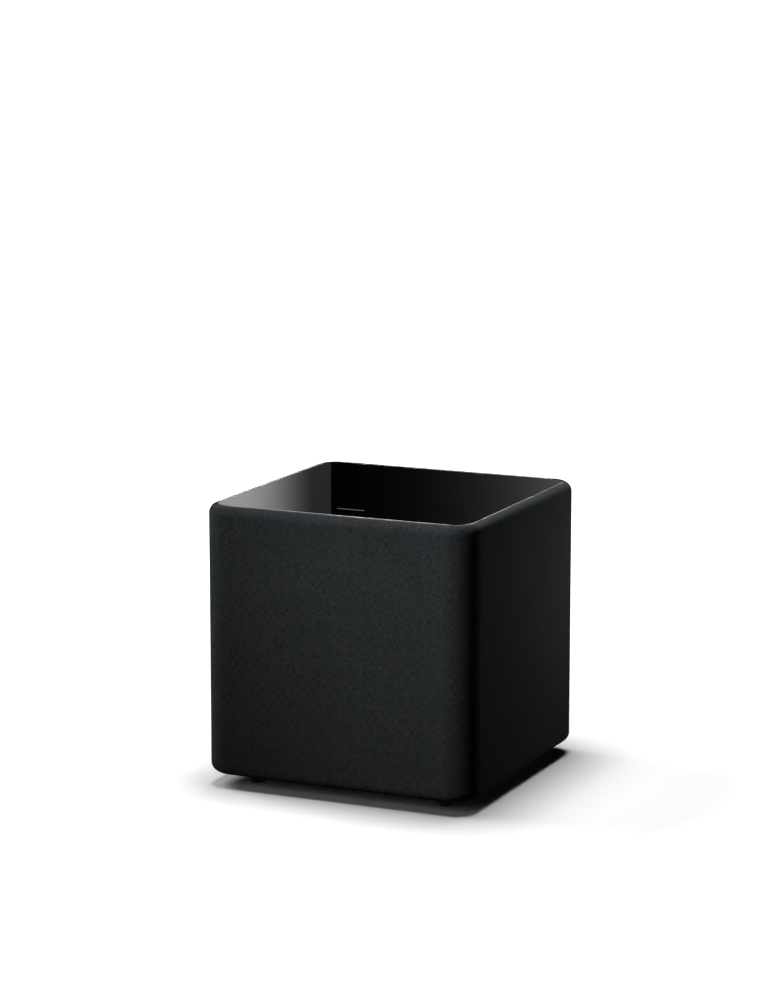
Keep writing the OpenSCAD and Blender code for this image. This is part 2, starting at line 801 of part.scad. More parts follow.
module switch_body(at, travel) difference() {
    block(at, lever_w + travel + 10, 9, amp_board_y + board_thick, plate_y);
    block(at, lever_w + travel + 3.6, 5.8, plate_y - 9, plate_y - 3);
    lever_slot(at, travel, plate_y - 4, plate_y + 1);
}

module slide_switches() color("silver") {
    switch_body(phase_at, phase_travel);
    switch_body(mode_at, mode_travel);
}

module lever(at) color("whitesmoke") {
    block(at, lever_w + 2.4, 5, plate_y - 8.6, plate_y - 6);
    block(at, lever_w, lever_h, plate_y - 6 - eps, plate_front_y + 3.6);
}

module phase_lever() lever([phase_at[0] - phase_travel / 2, phase_at[1]]);

module mode_lever() lever(mode_at);

module power_switch_housing() color(plastic_black) difference() {
    half = rocker_half + 2.4;
    union() {
        block(rocker_at, rocker_w + 2.2, 2 * half, plate_y - 12, plate_front_y);
        block(rocker_at, rocker_w + 5, 2 * half + 3, plate_front_y - eps, plate_front_y + 1.4);
    }
    block(rocker_at, rocker_w + 0.6, 2 * half - 2, plate_y - 8, plate_front_y + 2);
    rocker_axle(rocker_pin_r + 0.05, rocker_w / 2 + 1);
}

module rocker_axle(r, reach)
    translate([rocker_at[0] - reach, rocker_y, rocker_at[1]]) rotate([0, 90, 0])
        cylinder(r = r, h = 2 * reach);

module power_rocker() color("#101012") {
    rocker_axle(rocker_pin_r, rocker_w / 2 + 0.7);
    face = 6.5;
    rise = rocker_half * tan(rocker_tilt);
    translate([rocker_at[0] - rocker_w / 2, rocker_y, rocker_at[1]]) rotate([rocker_tilt, 0, 0])
        rotate([90, 0, 90]) linear_extrude(height = rocker_w)
            polygon([[-2.5, 2.5], [-2.5, -2.5], [3, -rocker_half], [face + rise, -rocker_half],
                     [face, 0], [face + rise, rocker_half], [3, rocker_half], [-2.5, 2.5]]);
}

module inlet_pin_shapes() for (p = pins_at)
    block([inlet_at[0] + p[0], inlet_at[1] + p[1]], 2, 4, power_board_y + board_thick, pin_tip_y);

module mains_inlet() color(plastic_black) difference() {
    union() {
        block(inlet_at, inlet_w, inlet_h, plate_y - 18, plate_front_y);
        upright(plate_front_y - eps, plate_front_y + 2) translate(inlet_at)
            round_rect(inlet_w + 3.4, inlet_h + 4.2, 2);
    }
    upright(plate_y - 11, plate_front_y + 3) translate(inlet_at)
        round_rect(inlet_w - 3, inlet_h - 3, 2.5);
    inlet_pin_shapes();
}

module inlet_pins() color(brass) inlet_pin_shapes();

module line_in_jacks() color(brass) for (at = jacks_at) difference() {
    union() {
        rod(at, jack_r, amp_board_y + board_thick, jack_y + jack_l);
        rod(at, jack_r + 1.6, plate_front_y, jack_y);
    }
    rod(at, jack_r - jack_wall, amp_board_y + board_thick - 1, jack_y + jack_l + 1);
}

module line_in_insulators() color("white") for (at = jacks_at) difference() {
    rod(at, jack_r - jack_wall, amp_board_y + board_thick, jack_y + jack_l - 0.6);
    rod(at, jack_hole_r, jack_y - 4, jack_y + jack_l);
}

module status_lens() color("white") translate([lens_at[0], 0, lens_at[1]]) rotate([-90, 0, 0])
    rotate_extrude() {
        translate([0, amp_board_y + board_thick])
            square([lens_r, plate_front_y - amp_board_y - board_thick]);
        intersection() {
            translate([0, plate_front_y]) circle(r = lens_r);
            translate([0, plate_front_y - 1]) square([2, 4]);
        }
    }

// ---------- internal leads ----------

function shifted(path, dz) = [for (p = path) p + [0, 0, dz]];

module speaker_lead_red() color("red") translate([0, 0, mid_z])
    swept_lead(lead_route, lead_r);

module speaker_lead_black() color("black") translate([0, 0, mid_z])
    swept_lead(shifted(lead_route, -2 * tab_gap), lead_r);

fabric_sleeve();
top_panel();
top_trim_ring();
top_inlay();
top_board();
bottom_board();
side_board_left();
side_board_right();
front_baffle();
rear_board();
corner_posts();
cabinet_brace();
acoustic_wadding();
grille_frame();
grille_pegs();
base_plate();
feet();
foot_screws();
driver_basket();
driver_gasket();
driver_screws();
front_pole_plate();
magnet_ring();
rear_pole_piece();
shorting_ring();
voice_coil_former();
voice_coil();
spider();
cone();
dust_cap();
surround();
driver_terminals();
tinsel_leads();
amp_bezel();
amp_gasket();
amp_panel();
amp_screws();
amp_board();
power_board();
board_standoffs();
heat_sink();
power_transformer();
capacitors();
control_pots();
volume_shaft();
volume_knob();
crossover_shaft();
crossover_knob();
slide_switches();
phase_lever();
mode_lever();
power_switch_housing();
power_rocker();
mains_inlet();
inlet_pins();
line_in_jacks();
line_in_insulators();
status_lens();
speaker_lead_red();
speaker_lead_black();
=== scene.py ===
import json
import math

import bmesh
import bpy
from mathutils import Matrix, Vector, noise


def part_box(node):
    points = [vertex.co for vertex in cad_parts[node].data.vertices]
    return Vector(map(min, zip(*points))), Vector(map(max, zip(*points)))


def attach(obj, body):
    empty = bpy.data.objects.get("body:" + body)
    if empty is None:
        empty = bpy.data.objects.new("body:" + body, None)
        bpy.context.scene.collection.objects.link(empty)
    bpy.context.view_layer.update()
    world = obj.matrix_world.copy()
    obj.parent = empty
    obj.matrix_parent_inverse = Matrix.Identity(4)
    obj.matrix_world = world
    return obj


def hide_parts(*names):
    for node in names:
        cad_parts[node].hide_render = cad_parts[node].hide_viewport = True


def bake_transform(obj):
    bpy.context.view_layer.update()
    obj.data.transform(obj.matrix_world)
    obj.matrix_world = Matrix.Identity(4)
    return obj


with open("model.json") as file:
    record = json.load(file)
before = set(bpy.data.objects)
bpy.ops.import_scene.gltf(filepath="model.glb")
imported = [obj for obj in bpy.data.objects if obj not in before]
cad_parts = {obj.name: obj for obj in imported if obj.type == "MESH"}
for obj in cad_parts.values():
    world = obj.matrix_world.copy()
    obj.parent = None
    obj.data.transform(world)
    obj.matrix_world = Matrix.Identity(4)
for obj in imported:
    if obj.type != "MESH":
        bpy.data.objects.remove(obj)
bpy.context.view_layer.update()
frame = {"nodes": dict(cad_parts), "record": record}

# Looks for the compact cube subwoofer, in metres: +Z is up and the front faces -Y.

# ---------- places, from the frame ----------

SLEEVE_LOW, SLEEVE_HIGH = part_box("fabric_sleeve")
RING_LOW, RING_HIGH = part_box("top_trim_ring")
BEZEL_LOW, BEZEL_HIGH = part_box("amp_bezel")
PANEL_FACE_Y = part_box("amp_panel")[1].y
MID_Z = (SLEEVE_LOW.z + SLEEVE_HIGH.z) / 2

CORNER_R = 0.025
EDGE_R = 0.009
STRAIGHT_X = SLEEVE_HIGH.x - CORNER_R
STRAIGHT_Y = SLEEVE_HIGH.y - CORNER_R

# ---------- materials ----------


class Nodes:
    """Short calls that add nodes to one node tree."""

    def __init__(self, tree):
        self.tree = tree

    def add(self, kind, inputs=(), **settings):
        node = self.tree.nodes.new(kind)
        for key, value in settings.items():
            setattr(node, key, value)
        for socket, value in dict(inputs).items():
            self.feed(node.inputs[socket], value)
        return node

    def feed(self, socket, value):
        if isinstance(value, bpy.types.NodeSocket):
            self.tree.links.new(value, socket)
        elif socket.type == "RGBA":
            socket.default_value = (*value[:3], 1)
        else:
            socket.default_value = value

    def math(self, operation, *values):
        return self.add("ShaderNodeMath", enumerate(values), operation=operation).outputs[0]

    def mixed(self, share, first, second):
        """A number that goes from first to second as share goes from 0 to 1."""
        return self.add("ShaderNodeMix", {0: share, 2: first, 3: second}).outputs[0]

    def between(self, factor, low, high, start=0.3, end=0.7, course="LINEAR"):
        """A number that goes from low to high as factor goes from start to end."""
        inputs = {"Value": factor, "From Min": start, "From Max": end, "To Min": low, "To Max": high}
        return self.add("ShaderNodeMapRange", inputs, interpolation_type=course).outputs[0]


class Material(Nodes):
    """A node material, with the textures and relief that most finishes share."""

    def __init__(self, name, color, **settings):
        self.data = bpy.data.materials.new(name)
        self.data.use_nodes = True
        super().__init__(self.data.node_tree)
        self.shader = self.tree.nodes["Principled BSDF"]
        self.place = self.add("ShaderNodeTexCoord").outputs["Object"]
        self.set("Base Color", color)
        for socket, value in settings.items():
            self.set(socket.replace("_", " "), value)

    def set(self, socket, value):
        self.feed(self.shader.inputs[socket], value)

    def noise(self, size, detail=3.0, stretch=(1, 1, 1)):
        """Noise with features about size across, drawn out by a factor along each axis."""
        scale = [1 / (size * factor) for factor in stretch]
        place = self.add("ShaderNodeMapping", {"Vector": self.place, "Scale": scale}).outputs[0]
        inputs = {"Vector": place, "Scale": 1.0, "Detail": detail}
        return self.add("ShaderNodeTexNoise", inputs).outputs["Fac"]

    def cells(self, size, **settings):
        """The distance to the middle of each cell of a pattern with cells about size across."""
        inputs = {"Vector": self.place, "Scale": 1 / size}
        return self.add("ShaderNodeTexVoronoi", inputs, **settings).outputs["Distance"]

    def tint(self, factor, low, high, start=0.3, end=0.7):
        """A colour that goes from low to high as factor goes from start to end."""
        share = self.between(factor, 0, 1, start, end)
        mix = self.add("ShaderNodeMix", {"Factor": share}, data_type="RGBA")
        self.feed(mix.inputs[6], low)
        self.feed(mix.inputs[7], high)
        return mix.outputs[2]

    def bump(self, height, depth, under=None):
        """Relief whose height of one stands depth proud, on top of the relief under it."""
        inputs = {"Height": height, "Distance": depth}
        if under:
            inputs["Normal"] = under
        return self.add("ShaderNodeBump", inputs).outputs[0]


def shade(color, factor):
    return tuple(min(1.0, part * factor) for part in color)


def moulded(name, color, roughness=0.45, grain=0.0006, depth=0.00002):
    """Moulded plastic: a fine spark-eroded grain, and slight patches of gloss."""
    m = Material(name, color)
    patches = m.noise(0.02)
    m.set("Base Color", m.tint(patches, shade(color, 0.85), shade(color, 1.2)))
    m.set("Roughness", m.between(patches, roughness - 0.05, roughness + 0.08))
    m.set("Normal", m.bump(m.noise(grain, 2), depth))
    return m.data


def polished(name, color, roughness=0.12):
    """Polished plastic, with faint haze and a trace of orange peel."""
    m = Material(name, color)
    m.set("Roughness", m.between(m.noise(0.012, 4), roughness * 0.7, roughness * 1.5))
    m.set("Normal", m.bump(m.noise(0.004, 1), 0.000004))
    return m.data


def plated(name, color, roughness=0.25, drawn=(1, 1, 1), depth=0.000003):
    """Bare or plated metal, with tool marks drawn out along one axis and a little tarnish."""
    m = Material(name, color, Metallic=1.0)
    marks = m.noise(0.00025, 2, drawn)
    tarnish = m.noise(0.006, 4)
    m.set("Base Color", m.tint(tarnish, shade(color, 0.72), color))
    m.set("Roughness", m.between(marks, roughness - 0.06, roughness + 0.08))
    m.set("Normal", m.bump(marks, depth))
    return m.data


def painted(name, color, roughness=0.5, grain=0.0007, depth=0.00003):
    """Powder coat: pebbled paint over metal, slightly uneven in colour."""
    m = Material(name, color)
    m.set("Base Color", m.tint(m.noise(0.015), shade(color, 0.8), shade(color, 1.25)))
    m.set("Roughness", m.between(m.noise(0.004, 3), roughness - 0.06, roughness + 0.06))
    m.set("Normal", m.bump(m.cells(grain, feature="SMOOTH_F1"), -depth))
    return m.data


def rubber(name, color, roughness=0.62, grain=0.0004, depth=0.00002):
    """Matt rubber or soft sleeving, with dust caught in its grain."""
    m = Material(name, color, Specular_IOR_Level=0.35)
    dust = m.noise(0.003, 5)
    m.set("Base Color", m.tint(dust, color, shade(color, 1.7), 0.45, 0.8))
    m.set("Roughness", m.between(dust, roughness - 0.05, roughness + 0.15))
    m.set("Normal", m.bump(m.noise(grain, 3), depth))
    return m.data


def foam(name, color):
    """Closed-cell foam: small open pits all over, with painted shade in the pits."""
    m = Material(name, color, Roughness=0.9)
    pits = m.cells(0.00045)
    # painted shade: the colour darkens to half in the bottom of each pit that the bump sinks
    m.set("Base Color", m.tint(pits, shade(color, 0.5), shade(color, 1.3), 0.1, 0.6))
    m.set("Normal", m.bump(pits, 0.0001))
    return m.data


def fibreboard(name, color):
    """Raw fibreboard: pressed short fibres, with darker specks."""
    m = Material(name, color, Roughness=0.85)
    fibres = m.noise(0.0012, 6, (3, 3, 1))
    specks = m.noise(0.0004, 2)
    body = m.tint(fibres, shade(color, 0.75), shade(color, 1.2))
    m.set("Base Color", m.tint(specks, body, shade(color, 0.35), 0.68, 0.8))
    m.set("Normal", m.bump(fibres, 0.00008))
    return m.data


def paper(name, color):
    """Pressed paper pulp: flattened fibres in every direction."""
    m = Material(name, color, Roughness=0.78)
    fibres = m.noise(0.0008, 8)
    pulp = m.math("ADD", fibres, m.noise(0.005, 3))
    m.set("Base Color", m.tint(pulp, shade(color, 0.6), shade(color, 1.5), 0.8, 1.2))
    m.set("Normal", m.bump(fibres, 0.00008))
    return m.data


WEAVE_PITCH = 0.0009
SLUB = 0.005
CLOTH_DARK = (0.0100, 0.0110, 0.0119)
CLOTH_LIGHT = (0.0505, 0.0550, 0.0595)
CLOTH_SHINE = (0.82, 0.95, 1.0)


def woven(m, pitch, across, along, depth):
    """A plain weave in two tones. Across and along are the cloth's own coordinates, in metres."""
    half_turn = math.pi / pitch
    wave_a = m.math("SINE", m.math("MULTIPLY", across, half_turn))
    wave_b = m.math("SINE", m.math("MULTIPLY", along, half_turn))
    over = m.between(m.math("MULTIPLY", wave_a, wave_b), 0, 1, -0.12, 0.12)
    round_a = m.math("ABSOLUTE", wave_a)
    round_b = m.math("ABSOLUTE", wave_b)
    warp = m.math("MULTIPLY", round_a, m.math("MULTIPLY_ADD", round_b, 0.5, 0.5))
    weft = m.math("MULTIPLY", round_b, m.math("MULTIPLY_ADD", round_a, 0.5, 0.5))
    height = m.mixed(over, weft, warp)
    return over, height, m.bump(height, depth)


def thread_shade(m, across, along):
    """A shade from 0 to 1 for each thread of the cover, with slubs along its length."""
    number = m.math("FLOOR", m.math("DIVIDE", across, WEAVE_PITCH))
    random = m.add("ShaderNodeTexWhiteNoise", {"W": number}, noise_dimensions="1D").outputs["Value"]
    place = m.add("ShaderNodeCombineXYZ", {"X": m.math("MULTIPLY", along, 1 / SLUB), "Y": number})
    slubs = m.add("ShaderNodeTexNoise", {"Vector": place.outputs[0], "Scale": 1.0, "Detail": 1.0})
    slub_shade = m.between(slubs.outputs["Fac"], 0.08, 0.74, 0.4, 0.6)
    return m.math("MULTIPLY_ADD", random, 0.18, slub_shade)


def cover_cloth(name):
    """The cover's cloth: a fine two-tone plain weave with slubs and painted shade between its threads, a
    soft sheen and a little fuzz.
    """
    m = Material(name, CLOTH_DARK, Roughness=0.88, Specular_IOR_Level=0.12)
    m.set("Sheen Weight", 0.1)
    m.set("Sheen Roughness", 0.5)
    m.set("Sheen Tint", CLOTH_SHINE)
    m.set("Specular Tint", CLOTH_SHINE)
    cloth = m.add("ShaderNodeSeparateXYZ", {0: m.add("ShaderNodeUVMap", uv_map="weave").outputs[0]})
    across, along = cloth.outputs["X"], cloth.outputs["Y"]
    over, height, relief = woven(m, WEAVE_PITCH, across, along, 0.00016)
    warp = thread_shade(m, across, along)
    weft = thread_shade(m, along, across)
    threads = m.mixed(over, weft, warp)
    fade = m.noise(0.05, 3)
    tone = m.math("MULTIPLY_ADD", fade, 0.3, m.math("MULTIPLY", threads, 0.85))
    body = m.tint(tone, CLOTH_DARK, CLOTH_LIGHT, 0.1, 1.0)
    # painted shade: the colour darkens where the weave sinks between its threads
    m.set("Base Color", m.tint(height, shade(CLOTH_DARK, 0.45), body, 0.05, 0.55))
    m.set("Normal", m.bump(m.noise(0.0003, 4), 0.00004, relief))
    return m.data


def stiff_cloth(name, color):
    """Resin-stiffened open cloth for the spider, with painted shade between its threads."""
    m = Material(name, color, Roughness=0.7)
    place = m.add("ShaderNodeSeparateXYZ", {0: m.place})
    _, height, relief = woven(m, 0.0009, place.outputs["X"], place.outputs["Z"], 0.0002)
    # painted shade: the colour darkens where the weave sinks between its threads
    m.set("Base Color", m.tint(height, shade(color, 0.3), color, 0.1, 0.7))
    m.set("Normal", relief)
    return m.data


def fibre_fill(name, color):
    """Loose polyester fibre: long crossing strands with shadow between them."""
    m = Material(name, color, Roughness=0.9)
    m.set("Sheen Weight", 0.4)
    one = m.noise(0.0009, 6, (1, 14, 2))
    two = m.noise(0.0011, 6, (2, 1, 12))
    strands = m.math("MAXIMUM", one, two)
    m.set("Base Color", m.tint(strands, shade(color, 0.45), color, 0.4, 0.68))
    m.set("Normal", m.bump(strands, 0.0008))
    return m.data


def braided(name, color):
    """Fine braided wire, with painted shade in the grooves between its strands."""
    m = Material(name, color, Metallic=1.0)
    inputs = {"Vector": m.place, "Scale": 900.0, "Distortion": 1.5}
    strands = m.add("ShaderNodeTexWave", inputs, bands_direction="DIAGONAL").outputs["Fac"]
    # painted shade: the colour darkens in the grooves between the strands, where the bump sinks
    m.set("Base Color", m.tint(strands, shade(color, 0.4), color, 0.0, 0.8))
    m.set("Roughness", m.between(strands, 0.5, 0.28))
    m.set("Normal", m.bump(strands, 0.0001))
    return m.data


def circuit_board(name, color):
    """Green solder resist over copper tracks, with bare pads."""
    m = Material(name, color, Roughness=0.32)
    turned = {"Vector": m.place, "Rotation": (math.radians(90), 0, 0)}
    place = m.add("ShaderNodeMapping", turned).outputs[0]
    rows = {"Vector": place, "Scale": 60.0, "Mortar Size": 0.012, "Brick Width": 0.9, "Row Height": 0.12}
    tracks = m.add("ShaderNodeTexBrick", rows).outputs["Fac"]
    pads = m.add("ShaderNodeTexVoronoi", {"Vector": place, "Scale": 170.0}).outputs["Distance"]
    resist = m.tint(tracks, color, shade(color, 2.4), 0, 1)
    m.set("Base Color", m.tint(pads, (0.62, 0.60, 0.55), resist, 0.10, 0.13))
    m.set("Normal", m.bump(tracks, 0.00004))
    return m.data


def input_rings(name):
    """The inserts of the two line inputs: white on the left socket and red on the right one."""
    red, white = (0.45, 0.012, 0.01), (0.78, 0.77, 0.74)
    m = Material(name, white, Roughness=0.4)
    low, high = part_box("line_in_insulators")
    side = m.add("ShaderNodeSeparateXYZ", {0: m.place}).outputs["X"]
    middle = (low.x + high.x) / 2
    blur = 0.0001
    m.set("Base Color", m.tint(side, red, white, middle - blur, middle + blur))
    m.set("Normal", m.bump(m.noise(0.0005, 2), 0.00001))
    return m.data


def gloss_top(name, color):
    """Piano-black panel: mirror gloss, with faint wiping marks and a few specks of dust."""
    m = Material(name, color, IOR=1.5)
    wipe = m.noise(0.012, 4, (4, 1, 1))
    specks = m.noise(0.0006, 1)
    m.set("Base Color", m.tint(specks, color, (0.01, 0.01, 0.01), 0.9, 0.94))
    m.set("Roughness", m.between(wipe, 0.008, 0.028))
    return m.data


def frosted(name, color):
    """Frosted lens that spreads the light of the lamp behind it."""
    m = Material(name, color, IOR=1.49)
    m.set("Transmission Weight", 0.35)
    m.set("Roughness", m.between(m.noise(0.0005, 2), 0.25, 0.45))
    m.set("Normal", m.bump(m.noise(0.0003, 2), 0.00001))
    return m.data


FINISHES = {
    "fabric": cover_cloth("fabric"),
    "gloss_top": gloss_top("gloss_top", (0.0002, 0.0002, 0.0003)),
    "trim": plated("trim", (0.19, 0.195, 0.2), 0.22),
    "inlay": plated("inlay", (0.06, 0.06, 0.062), 0.34, (20, 1, 1)),
    "board": fibreboard("board", (0.36, 0.24, 0.15)),
    "wadding": fibre_fill("wadding", (0.85, 0.84, 0.8)),
    "black_plastic": moulded("black_plastic", (0.018, 0.018, 0.02)),
    "foot_rubber": rubber("foot_rubber", (0.016, 0.016, 0.017)),
    "screw_steel": plated("screw_steel", (0.09, 0.09, 0.1), 0.35),
    "basket_paint": painted("basket_paint", (0.035, 0.035, 0.04), 0.45),
    "foam": foam("foam", (0.05, 0.05, 0.05)),
    "plated_steel": plated("plated_steel", (0.6, 0.6, 0.57), 0.3, (1, 1, 6)),
    "ferrite": painted("ferrite", (0.05, 0.05, 0.055), 0.7, 0.0003, 0.00001),
    "copper": plated("copper", (0.72, 0.36, 0.2), 0.25, (1, 1, 1), 0.00001),
    "former": polished("former", (0.55, 0.4, 0.16), 0.3),
    "spider_cloth": stiff_cloth("spider_cloth", (0.62, 0.42, 0.16)),
    "cone_paper": paper("cone_paper", (0.028, 0.028, 0.031)),
    "surround_rubber": rubber("surround_rubber", (0.018, 0.018, 0.018), 0.45),
    "terminal_board": fibreboard("terminal_board", (0.3, 0.16, 0.06)),
    "braid": braided("braid", (0.75, 0.55, 0.3)),
    "panel_paint": painted("panel_paint", (0.022, 0.022, 0.024), 0.5),
    "circuit_board": circuit_board("circuit_board", (0.012, 0.11, 0.05)),
    "brass": plated("brass", (0.78, 0.58, 0.26), 0.2),
    "aluminium": plated("aluminium", (0.7, 0.71, 0.72), 0.32, (1, 1, 20), 0.00001),
    "transformer_tape": polished("transformer_tape", (0.75, 0.6, 0.15), 0.35),
    "capacitor_sleeve": polished("capacitor_sleeve", (0.02, 0.035, 0.1), 0.22),
    "nickel": plated("nickel", (0.66, 0.64, 0.6), 0.22),
    "knob_plastic": moulded("knob_plastic", (0.014, 0.014, 0.015), 0.4),
    "lever_plastic": moulded("lever_plastic", (0.5, 0.5, 0.49), 0.4, 0.0003, 0.00001),
    "switch_plastic": moulded("switch_plastic", (0.013, 0.013, 0.014), 0.38),
    "rocker_plastic": polished("rocker_plastic", (0.01, 0.01, 0.011), 0.18),
    "insulator": input_rings("insulator"),
    "lens": frosted("lens", (0.8, 0.82, 0.85)),
    "red_sleeving": rubber("red_sleeving", (0.42, 0.02, 0.018), 0.5),
    "black_sleeving": rubber("black_sleeving", (0.013, 0.013, 0.013), 0.5),
}


def dress_frame():
    """Gives each CAD node the finish of its slot in the record."""
    for subpart in frame["record"]["subparts"]:
        node = frame["nodes"][subpart["node"]]
        node.data.materials.clear()
        node.data.materials.append(FINISHES[subpart["material_slot"]])


# ---------- mesh helpers ----------


def make_piece(name, points, faces, slot, body, replaces=()):
    """A smooth mesh piece, which rides on a body and stands for CAD nodes."""
    data = bpy.data.meshes.new(name)
    data.from_pydata(points, [], faces)
    data.polygons.foreach_set("use_smooth", [True] * len(data.polygons))
    data.materials.append(FINISHES[slot])
    piece = bpy.data.objects.new(name, data)
    bpy.context.scene.collection.objects.link(piece)
    if body:
        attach(piece, body)
    if replaces:
        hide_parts(*replaces)
    return piece


def turn_outwards(piece):
    """Makes every face of a closed mesh look outwards."""
    mesh = bmesh.new()
    mesh.from_mesh(piece.data)
    bmesh.ops.recalc_face_normals(mesh, faces=mesh.faces)
    mesh.to_mesh(piece.data)
    mesh.free()


def ribbon(path, thickness):
    """The closed outline of a strip that follows a flat path."""
    sides = ([], [])
    for i, point in enumerate(path):
        ahead = Vector(path[min(i + 1, len(path) - 1)]) - Vector(path[max(i - 1, 0)])
        across = Vector((-ahead.y, ahead.x)).normalized() * thickness / 2
        sides[0].append(Vector(point) + across)
        sides[1].append(Vector(point) - across)
    return sides[0] + sides[1][::-1]


def turned(name, outline, slot, body, replaces, steps=144):
    """A closed outline, as (radius, y), turned round the driver's axis."""
    count = len(outline)
    points = []
    for step in range(steps):
        angle = math.tau * step / steps
        points += [(r * math.cos(angle), y, MID_Z + r * math.sin(angle)) for r, y in outline]
    faces = []
    for step in range(steps):
        here, there = step * count, (step + 1) % steps * count
        for i in range(count):
            j = (i + 1) % count
            faces.append((here + i, here + j, there + j, there + i))
    piece = make_piece(name, points, faces, slot, body, replaces)
    turn_outwards(piece)
    return piece


def smooth_route(route, steps):
    """Points on one smooth curve through a route's points."""
    ends = [route[0] * 2 - route[1], *route, route[-1] * 2 - route[-2]]
    points = []
    for a, b, c, d in zip(ends, ends[1:], ends[2:], ends[3:]):
        for step in range(steps):
            t = step / steps
            bend = 2 * b + (c - a) * t + (2 * a - 5 * b + 4 * c - d) * t * t
            points.append((bend + (3 * b - a - 3 * c + d) * t ** 3) / 2)
    return points + [route[-1]]


def tube(path, radius, sides=14):
    """Points and faces of a closed round tube along a path."""
    points, faces = [], []
    side = Vector((0, 0, 1))
    for i, point in enumerate(path):
        ahead = (path[min(i + 1, len(path) - 1)] - path[max(i - 1, 0)]).normalized()
        side = (side - ahead * side.dot(ahead)).normalized()
        up = ahead.cross(side)
        for k in range(sides):
            angle = math.tau * k / sides
            points.append(point + radius * (math.cos(angle) * side + math.sin(angle) * up))
    for i in range(len(path) - 1):
        for k in range(sides):
            a, b = i * sides + k, i * sides + (k + 1) % sides
            faces.append((a, b, b + sides, a + sides))
    last = (len(path) - 1) * sides
    faces.append(tuple(reversed(range(sides))))
    faces.append(tuple(range(last, last + sides)))
    return points, faces


def join_meshes(parts):
    """One list of points and one of faces, from several."""
    points, faces = [], []
    for part_points, part_faces in parts:
        start = len(points)
        points += part_points
        faces += [tuple(start + i for i in face) for face in part_faces]
    return points, faces


# ---------- fabric cover ----------

GRID = 0.0025
FOLD_R = 0.0007
RING_GAP = 0.00005
CLOTH_T = 0.0008
SEAT_GAP = 0.0004
TUCK = RING_HIGH.x - STRAIGHT_X + RING_GAP
HOLE_GAP = 0.0002
HOLE_MARGIN = 0.005
HOLE_X = BEZEL_HIGH.x + HOLE_GAP
HOLE_Z = (BEZEL_HIGH.z - BEZEL_LOW.z) / 2 + HOLE_GAP
HOLE_R = 0.0062
HOLE_TURN = 0.0012
HOLE_FOLD = ((0.35, 0.0), (0.1, 0.3), (0.0, 0.6), (0.0, 1.0))
SEAM_W = 0.0009
SEAM_DEPTH = 0.0004
UNEVEN = 0.00012
UNEVEN_RATE = 22
EDGE_HOLD = 0.4
RIM_SLACK = 1e-6
FOLD_STEPS = 6
EDGE_STEPS = 9


def spaced(start, end, spacing, marks=()):
    """Values from start up to end, about spacing apart, that hit each mark between them."""
    stops = [start, *sorted(mark for mark in marks if start < mark < end), end]
    values = [start]
    for low, high in zip(stops, stops[1:]):
        count = max(1, round((high - low) / spacing))
        values += [low + (high - low) * i / count for i in range(1, count + 1)]
    return values


def cover_outline():
    """Places round the body from the middle of the back, and the length round it.

    Each place is a point on the line that the cover's half-section swings about, the way outwards
    there, and the distance run so far.
    """
    marks = [SEAM_W / 2, SEAM_W, 2 * SEAM_W, HOLE_X + HOLE_MARGIN]
    places, run = [], 0.0
    corner = math.pi / 2 * CORNER_R
    for turn in range(5):
        angle = math.radians(90 + 90 * turn)
        normal = Vector((math.cos(angle), math.sin(angle)))
        ahead = Vector((-normal.y, normal.x))
        reach, half = (STRAIGHT_Y, STRAIGHT_X) if turn % 2 == 0 else (STRAIGHT_X, STRAIGHT_Y)
        start = 0.0 if turn == 0 else -half
        end = 0.0 if turn == 4 else half
        own_marks = [m if turn == 0 else -m for m in marks] if turn in (0, 4) else []
        for value in spaced(start, end, GRID, own_marks)[1 if turn else 0:]:
            places.append((normal * reach + ahead * value, normal, run + value - start))
        run += end - start
        if turn == 4:
            continue
        steps = round(corner / GRID)
        for step in range(1, steps + 1):
            swing = math.radians(90 * step / steps)
            bent = normal * math.cos(swing) + ahead * math.sin(swing)
            places.append((normal * reach + ahead * half, bent, run + corner * step / steps))
        run += corner
    return places, run


def cover_profile():
    """The cover's half-section from the top tuck to the bottom tuck: (distance out, height)."""
    edge_u = CORNER_R - EDGE_R
    edge_z = SLEEVE_HIGH.z - EDGE_R
    fold_u = TUCK + FOLD_R
    fold_z = edge_z + math.sqrt((EDGE_R - FOLD_R) ** 2 - (fold_u - edge_u) ** 2)
    meet = math.atan2(fold_z - edge_z, fold_u - edge_u)
    tuck_z = RING_LOW.z + SEAT_GAP
    upper = [(TUCK, tuck_z), (TUCK, (tuck_z + fold_z) / 2)]
    for step in range(FOLD_STEPS):
        angle = math.pi + (meet - math.pi) * step / FOLD_STEPS
        upper.append((fold_u + FOLD_R * math.cos(angle), fold_z + FOLD_R * math.sin(angle)))
    for step in range(EDGE_STEPS):
        angle = meet * (1 - step / EDGE_STEPS)
        upper.append((edge_u + EDGE_R * math.cos(angle), edge_z + EDGE_R * math.sin(angle)))
    marks = [MID_Z - HOLE_Z - HOLE_MARGIN, MID_Z + HOLE_Z + HOLE_MARGIN]
    side = [(CORNER_R, z) for z in spaced(SLEEVE_LOW.z + EDGE_R, edge_z, GRID, marks)]
    lower = [(u, SLEEVE_LOW.z + SLEEVE_HIGH.z - z) for u, z in upper]
    return upper + side[::-1] + lower[::-1]


def cover_grid(mesh, outline, profile):
    """Columns of vertices over the whole cover, one for each place round the body."""
    grid = []
    for base, normal, _ in outline[:-1]:
        column = []
        for u, z in profile:
            place = base + normal * u
            column.append(mesh.verts.new((place.x, place.y, z)))
        grid.append(column)
    return grid


def over_hole(corners):
    """Whether a face of the cover lies over the rear opening or the margin round it."""
    middle = sum((corner.co for corner in corners), Vector()) / len(corners)
    within_x = abs(middle.x) < HOLE_X + HOLE_MARGIN
    within_z = abs(middle.z - MID_Z) < HOLE_Z + HOLE_MARGIN
    return middle.y > STRAIGHT_Y and within_x and within_z


